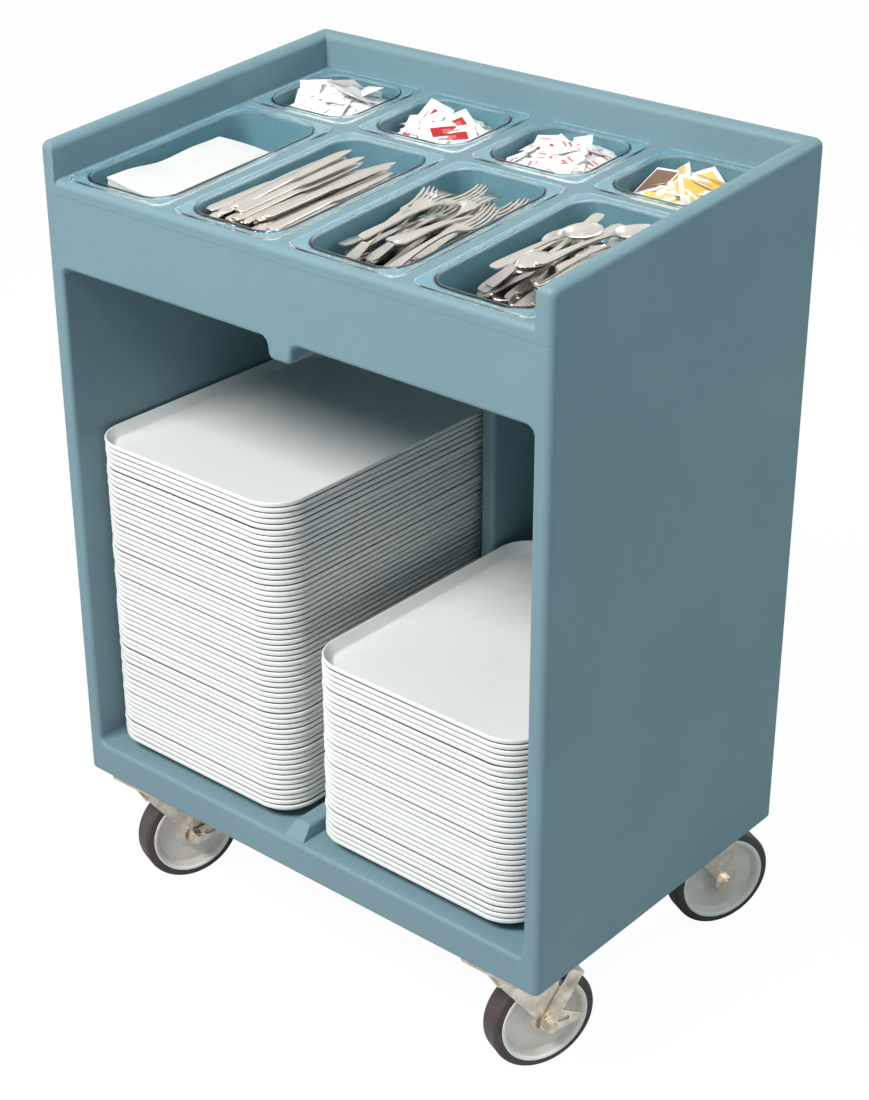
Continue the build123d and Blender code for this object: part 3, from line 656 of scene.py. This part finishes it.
fork_blank = flat_blank(fork_stations, 7)
tine_edges = (-1, -0.71, -0.43, -0.14, 0.14, 0.43, 0.71, 1)
gaps = []
for face in fork_blank.faces:
    middle = face.calc_center_median()
    column = min(int((middle.x / mm / fork_half_w + 1) * half_columns), 6)
    if middle.y > fork_stations[tine_root][0] * mm and column % 2:
        gaps.append(face)
bmesh.ops.delete(fork_blank, geom=gaps, context="FACES")
for v in fork_blank.verts:
    along, half, rim, dish = min(fork_stations, key=lambda s: abs(s[0] - v.co.y / mm))
    column = round((v.co.x / mm / half + 1) * half_columns)
    across = tine_edges[column]
    if along > 90:
        tine = column // 2 * 2
        centre = (tine_edges[tine] + tine_edges[tine + 1]) / 2
        across = centre + (across - centre) * (0.7 if along < 94 else 0.3)
    v.co.x = across * half * mm
one_fork = thickened(fork_blank, "one_fork")

knife_mesh = bmesh.new()
skin(knife_mesh, [
    loop(
        knife_mesh, 10,
        Matrix.Translation(Vector((side, along, knife_middle)) * mm) @ Matrix.Rotation(pi / 2, 4, "X")
        @ Matrix.Diagonal((half * mm, thick * mm, 1, 1)),
    )
    for along, side, half, thick in knife_stations
])
one_knife = bpy.data.meshes.new("one_knife")
knife_mesh.to_mesh(one_knife)
knife_mesh.free()
level_line = np.ones(outline_points)
knife_shape = (
    np.linspace(-knife_half_l, knife_half_l, outline_points), level_line * knife_half_w,
    level_line * 0.0, level_line * knife_t,
)
spoon_shape = outline_of(spoon_stations, 0.7)
fork_shape = outline_of(fork_stations, 0.5)

cutlery = (
    # piece, CAD node, pan, mesh, shape, seed, places across, places along, turn, share upside down,
    # layers, and what is laid on top, each with its place, its turn, if upside down and if reversed
    ("table_knives", "knives", 1, one_knife, knife_shape, 3, 64, (-30, 8), 1.6, 0.0, ((61, 0.0),), (
        (-37, 4, 3, False, False), (-14, -6, -1, False, False), (30, 2, -3, False, False),
    )),
    ("table_forks", "forks", 2, one_fork, fork_shape, 5, 60, (-46, 24), 9, 0.25, ((38, 0.5), (60, 0.0)), (
        (-41, -25, 8, False, False), (-22, 14, -13, False, False), (26, 21, -12, False, False),
        (66, 27, -6, False, False), (50, -40, -6, False, False), (-30, -50, 12, False, False),
        (14, -30, -24, False, False),
    )),
    ("table_spoons", "spoons", 3, one_spoon, spoon_shape, 8, 60, (-46, 30), 6, 0.3, ((44, 0.6), (61, 0.0)), (
        (-19, 29, 6, True, True), (22, 42, 5, True, True), (-1, 27, -3, True, True),
        (52, 20, -7, True, False), (27, 36, -8, False, False), (8, 21, -5, True, False),
        (-17, 1, -4, False, False),
    )),
)
for name, node, i, *heap_of in cutlery:
    heap = heaped_cutlery(pan_place(i, long_pan_y), *heap_of)
    finished(name, heap, steel, f"pan_front_{i + 1}", "cutlery_steel", node)


# Napkins: a bundle of folded white paper napkins in the left-hand pan. Each shows its folded
# edge, and the upper ones have begun to curl.
napkin_w, napkin_l = 113 * mm, 193 * mm
fold_t, fold_pitch, folds = 2.5 * mm, 3.1 * mm, 19
bundle_x, bundle_y, bundle_turn = 10, -30, -4
napkin_paper, tree, shader = start_material("napkin_paper")
varied(
    tree, shader, colour(217, 218, 216), colour(211, 211, 210), 20.0, 1100.0, (0.8, 0.95), (0.2, 0.0004)
)
bundle = bmesh.new()
bends = random.Random(21)
for k in range(folds):
    fold = bmesh.new()
    bmesh.ops.create_grid(fold, x_segments=12, y_segments=18, size=1)
    loose = (k / (folds - 1)) ** 4
    side, turn = bends.uniform(-1.5, 1.5), bends.uniform(-0.6, 0.6)
    ahead = bends.uniform(-3, 1) - 7 * (1 - k / (folds - 1))
    for v in fold.verts:
        u, w = v.co.x, v.co.y
        wave = 2.2 * sin(2.3 * w + 1.2 * u) + 1.0 * u * w + 4.0 * max(0, -u - 0.2) * max(0, -w - 0.1)
        ripple = 1.5 * max(0, -u) * sin(6 * w + 0.3 * k)
        ragged = u + 0.03 * max(0, -u) * sin(5 * w)
        v.co = Vector((ragged * napkin_w / 2, w * napkin_l / 2, (wave + ripple) * loose * mm))
    bmesh.ops.solidify(fold, geom=fold.faces[:], thickness=fold_t)
    bmesh.ops.recalc_face_normals(fold, faces=fold.faces)
    sheet_mesh = bpy.data.meshes.new("fold")
    fold.to_mesh(sheet_mesh)
    fold.free()
    place = Vector((bundle_x + side, bundle_y + ahead, 1.0)) * mm + Vector((0, 0, k * fold_pitch))
    copy_into(
        bundle, sheet_mesh,
        pan_place(0, long_pan_y) @ Matrix.Translation(place)
        @ Matrix.Rotation(radians(turn + bundle_turn), 4, "Z"),
    )
finished("napkin_bundle", bundle, napkin_paper, "pan_front_1", "napkin_white", "napkins")


# Sachets: small sealed paper packets of sugar, sauce and sweetener, heaped in the short pans.
# Their paper is coated, and has plain bands and marks of colour.
short_room, short_cells = (68 * mm, 66 * mm), (76, 70)
sachet_tries = 12
packed_spread, packed_lean = 66, 0.1
loose_spread, loose_lean = 46, 0.5
filled_share, paper_half = 0.86, 0.15


def sachet_mesh(name, length, width, puff):
    """A pillow with flat crimped ends, from one bulged sheet mirrored onto itself."""
    bm = bmesh.new()
    bmesh.ops.create_grid(bm, x_segments=8, y_segments=6, size=1)
    print_map = bm.loops.layers.uv.new("print")
    for face in bm.faces:
        for corner in face.loops:
            corner[print_map].uv = ((corner.vert.co.x + 1) / 2, (corner.vert.co.y + 1) / 2)
    for v in bm.verts:
        u, w = v.co.x, v.co.y
        crimped = abs(u) == 1 or abs(w) == 1
        bulge = 0
        if abs(u) < filled_share and abs(w) < 1:
            bulge = max(0, 1 - (u / filled_share) ** 2) ** 0.6 * (1 - w * w) ** 0.7
        height = bulge * puff / 2 + (0 if crimped else paper_half)
        v.co = Vector((u * length / 2, w * width / 2, height)) * mm
    bmesh.ops.mirror(bm, geom=bm.verts[:] + bm.edges[:] + bm.faces[:], axis="Z", merge_dist=0.00001)
    bmesh.ops.recalc_face_normals(bm, faces=bm.faces)
    bm.verts.layers.float.new("tone")
    mesh = bpy.data.meshes.new(name)
    bm.to_mesh(mesh)
    bm.free()
    return mesh


def between(tree, value, low, high):
    """1 where a value lies between two others, 0 elsewhere."""
    above, below = work_out(tree, "GREATER_THAN", value, low), work_out(tree, "LESS_THAN", value, high)
    return work_out(tree, "MULTIPLY", above, below)


def printed_band(tree, low_u, high_u, low_w, high_w):
    """1 inside a rectangle of the sachet's own print map, 0 outside it."""
    where = add_node(tree, "UVMap", uv_map="print")
    parts = add_node(tree, "SeparateXYZ")
    tree.links.new(where.outputs[0], parts.inputs[0])
    in_length = between(tree, parts.outputs[0], low_u, high_u)
    return work_out(tree, "MULTIPLY", in_length, between(tree, parts.outputs[1], low_w, high_w))


def sachet_paper(name, paper, shade, bands, speckle=None):
    """Coated paper. A band is (colour, its four edges on the print map, lowest tone, highest tone).

    Each sachet has a tone of its own, from 0 to 1, or 2 where it is laid apart from the heap.
    """
    made, tree, shader = start_material(name)
    source = varied(tree, shader, paper, shade, 30.0, 300.0, (0.35, 0.5), (0.3, 0.0008))
    now = source.outputs["Colour"]
    tone = add_node(tree, "Attribute", attribute_name="tone").outputs["Fac"]
    for ink, *edges, low_tone, high_tone in bands:
        chosen = between(tree, tone, low_tone, high_tone)
        now = tinted(tree, now, ink, work_out(tree, "MULTIPLY", printed_band(tree, *edges), chosen))
    if speckle:
        spots = add_node(tree, "TexNoise", scale=420.0, detail=1.0)
        where = add_node(tree, "TexCoord")
        tree.links.new(where.outputs["Object"], spots.inputs["Vector"])
        mask = printed_band(tree, 0.22, 0.78, 0.3, 0.7)
        few = work_out(tree, "MULTIPLY", work_out(tree, "GREATER_THAN", spots.outputs[0], 0.6), mask)
        now = tinted(tree, now, speckle, few)
    tree.links.new(now, shader.inputs["Base Color"])
    return made


white = colour(250, 250, 250)
cream = colour(240, 238, 234)
red, pink = colour(190, 42, 44), colour(214, 112, 104)
green, grey = colour(88, 150, 60), colour(150, 155, 165)
yellow, brown = colour(240, 206, 104), colour(122, 92, 70)
white_paper = sachet_paper("white_sachet_paper", white, cream, (), grey)
red_paper = sachet_paper("red_sachet_paper", white, cream, (
    (red, 0.2, 0.8, 0.26, 0.64, 0.0, 1.0), (pink, 0.3, 0.55, 0.36, 0.54, 0.0, 1.0),
    (green, 0.04, 0.14, 0.3, 0.5, 0.9, 1.0), (grey, 0.3, 0.7, 0.72, 0.78, 0.0, 1.0),
))
small_paper = sachet_paper("small_sachet_paper", white, cream, (
    (pink, 0.3, 0.4, 0.25, 0.75, 0.4, 1.0), (pink, 0.52, 0.6, 0.25, 0.75, 0.4, 1.0),
    (red, 0.44, 0.6, 0.4, 0.55, 0.0, 0.3),
))
yellow_paper = sachet_paper("yellow_sachet_paper", white, cream, (
    (yellow, 0.1, 0.9, 0.14, 0.86, 0.0, 1.5), (brown, 0.06, 0.94, 0.06, 0.94, 1.5, 2.5),
))
sachets = (
    # piece, CAD node, slot, pan, paper, size and bulge in mm, seed, loose ones, height of the heap,
    # and what is laid apart, each with its place, its turn, its lean and its tone
    ("white_sachets", "white_packets", "packet_white", 0, white_paper, (60, 44, 4.5), 11, 8, 73, ()),
    ("red_sachets", "red_packets", "packet_red", 1, red_paper, (64, 38, 5), 12, 6, 68, ()),
    ("small_sachets", "small_packets", "packet_mixed", 2, small_paper, (38, 26, 3.5), 13, 14, 64, ()),
    ("yellow_sachets", "yellow_packets", "packet_yellow", 3, yellow_paper, (62, 46, 4.5), 14, 7, 64, (
        (-44, -8, 78, (0.1, 0.2), 2.0),
    )),
)


def settle_flat(heights, length, width, puff, x, y, turn, lean_more):
    """Lets a sachet down onto the heap, leant to the slope under it and by some more.

    Gives its place, the cells of the heap it covers and its top over each of them.
    """
    across, over = np.meshgrid(np.linspace(-0.5, 0.5, 9) * length, np.linspace(-0.5, 0.5, 7) * width)
    at_x = x + across * cos(turn) - over * sin(turn)
    at_y = y + across * sin(turn) + over * cos(turn)
    cells = cells_under(heights, at_x, at_y)
    under = heights[cells]
    terms = np.stack([across.ravel(), over.ravel(), np.ones(across.size)], axis=1)
    lean_x, lean_y, _ = np.linalg.lstsq(terms, under.ravel(), rcond=None)[0]
    lean_x, lean_y = np.clip((lean_x, lean_y), -0.4, 0.4) + lean_more
    plane = lean_x * across + lean_y * over
    level = np.percentile(under - plane, 70) + puff * 0.35
    normal = Vector((-lean_x, -lean_y, 1)).normalized()
    lean = Vector((0, 0, 1)).rotation_difference(normal).to_matrix().to_4x4()
    return (
        Matrix.Translation((x, y, level)) @ Matrix.Rotation(turn, 4, "Z") @ lean,
        cells, level + plane + puff * 0.3,
    )


def heaped_sachets(pan, template, size, seed, loose, fill, apart):
    """A heap in a short pan: packed until it is full, with some laid on loosely and some apart."""
    length, width, puff = size
    chance = random.Random(seed)
    heights = np.zeros(short_cells)
    heap = bmesh.new()
    heap.verts.layers.float.new("tone")

    def settle(x, y, turn, lean_more):
        return settle_flat(heights, length * mm, width * mm, puff * mm, x, y, turn, lean_more)

    def drop(spread, lean):
        """Where a sachet comes to rest that falls at random, up to that far from the middle."""
        x, y, turn = keep_inside(
            chance.uniform(-1, 1) * spread * mm, chance.uniform(-1, 1) * spread * 0.9 * mm,
            chance.uniform(-pi, pi), width / 2 * mm, length / 2 * mm, *short_room, pan_corner,
        )
        return settle(x, y, turn, (chance.uniform(-lean, lean), chance.uniform(-lean, lean)))

    def put(matrix, cells, top, shade):
        np.maximum.at(heights, cells, top)
        fresh = copy_into(heap, template, pan @ matrix)
        tone = heap.verts.layers.float["tone"]
        for v in fresh:
            v[tone] = shade

    while loose:
        tries = [drop(packed_spread, packed_lean) for _ in range(sachet_tries)]
        found = min(tries, key=lambda one: one[2].max())
        if found[2].max() > fill * mm:
            found = drop(loose_spread, loose_lean)
            loose -= 1
        put(*found, chance.random())
    for x, y, turn, lean_more, shade in apart:
        put(*settle(x * mm, y * mm, radians(turn), lean_more), shade)
    return heap


for name, node, slot, i, paper, size, *heap_of in sachets:
    template = sachet_mesh(f"{name}_one", *size)
    heap = heaped_sachets(pan_place(i, short_pan_y), template, size, *heap_of)
    finished(name, heap, paper, f"pan_rear_{i + 1}", slot, node)


# Casters: zinc-plated pressed-steel forks, plates and brakes, with moulded grey wheels in dark
# rubber tyres. The plates are bolted up into the cabinet's underside.
zinc, tree, shader = start_material("zinc_plate")
varied(
    tree, shader, (0.9, 0.81, 0.7, 1), (0.46, 0.39, 0.32, 1), 34.0, 500.0, (0.2, 0.4), (0.1, 0.0003)
)
shader.inputs["Metallic"].default_value = 1.0


def build_hub_rings():
    """1 on the ring by the tyre, for a painted highlight, and 1 round the axle, for painted shade and
    grease.
    """
    group = bpy.data.node_groups.new("hub_rings", "ShaderNodeTree")
    group_socket(group, "Centre", "Vector", "INPUT")
    group_socket(group, "Radius", "Float", "INPUT", 0.05)
    group_socket(group, "Ring", "Float", "OUTPUT")
    group_socket(group, "Middle", "Float", "OUTPUT")
    given = group.nodes.new("NodeGroupInput")
    result = group.nodes.new("NodeGroupOutput")
    place = group.nodes.new("ShaderNodeTexCoord")
    away = add_node(group, "VectorMath", operation="DISTANCE")
    group.links.new(place.outputs["Object"], away.inputs[0])
    group.links.new(given.outputs["Centre"], away.inputs[1])
    share = work_out(group, "DIVIDE", away.outputs["Value"], given.outputs["Radius"])
    ring_share, middle_share = (0.945, 0.96), (0.5, 0.24)
    for socket, edges in zip(result.inputs, (ring_share, middle_share)):
        band = add_node(group, "MapRange", from_min=edges[0], from_max=edges[1])
        group.links.new(share, band.inputs["Value"])
        group.links.new(band.outputs[0], socket)
    return group


hub_rings = build_hub_rings()


def hub_material(node):
    """A wheel disc's moulded grey, with a painted highlight ring and painted shade and grease round the
    axle, placed by the disc's own box.
    """
    low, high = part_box(node)
    made, tree, shader = start_material(f"{node}_grey")
    source = varied(
        tree, shader, colour(240, 235, 226), colour(216, 209, 198), 16.0, 420.0, (0.34, 0.46), (0.08, 0.0003)
    )
    rings = add_node(tree, "Group", node_tree=hub_rings)
    rings.inputs["Centre"].default_value = (low + high) / 2
    rings.inputs["Radius"].default_value = (high - low).z / 2
    now = source.outputs["Colour"]
    # Painted highlight on the ring by the tyre, and painted shade with some grease round the axle.
    painted_highlight, painted_shade_and_grease = colour(252, 251, 247), colour(138, 130, 118)
    for label, share, tint in (("Ring", 0.9, painted_highlight), ("Middle", 0.65, painted_shade_and_grease)):
        now = tinted(tree, now, tint, work_out(tree, "MULTIPLY", rings.outputs[label], share))
    tree.links.new(now, shader.inputs["Base Color"])
    return made


tyre_dark, tree, shader = start_material("tyre_dark")
varied(
    tree, shader, colour(76, 65, 64), colour(62, 53, 53), 18.0, 600.0, (0.42, 0.62), (0.2, 0.0005)
)

bronze, tree, shader = start_material("bush_bronze")
varied(
    tree, shader, (0.55, 0.4, 0.22, 1), (0.42, 0.3, 0.17, 1), 40.0, 900.0, (0.35, 0.5), (0.1, 0.0002)
)
shader.inputs["Metallic"].default_value = 1.0

ball_steel, tree, shader = start_material("ball_steel")
varied(
    tree, shader, (0.75, 0.75, 0.74, 1), (0.62, 0.61, 0.6, 1), 50.0, 900.0, (0.15, 0.25), (0.05, 0.0001)
)
shader.inputs["Metallic"].default_value = 1.0

for node in nodes:
    if node.endswith("_tyre"):
        dress(node, tyre_dark)
    elif node.endswith("_hub"):
        dress(node, hub_material(node))
    elif node.endswith("_bush"):
        dress(node, bronze)
    elif node.endswith("_caster_balls"):
        dress(node, ball_steel)
    elif node.startswith(("front_", "rear_", "caster_")):
        dress(node, zinc)


bpy.context.scene.view_settings.view_transform = "Standard"
bpy.context.view_layer.update()
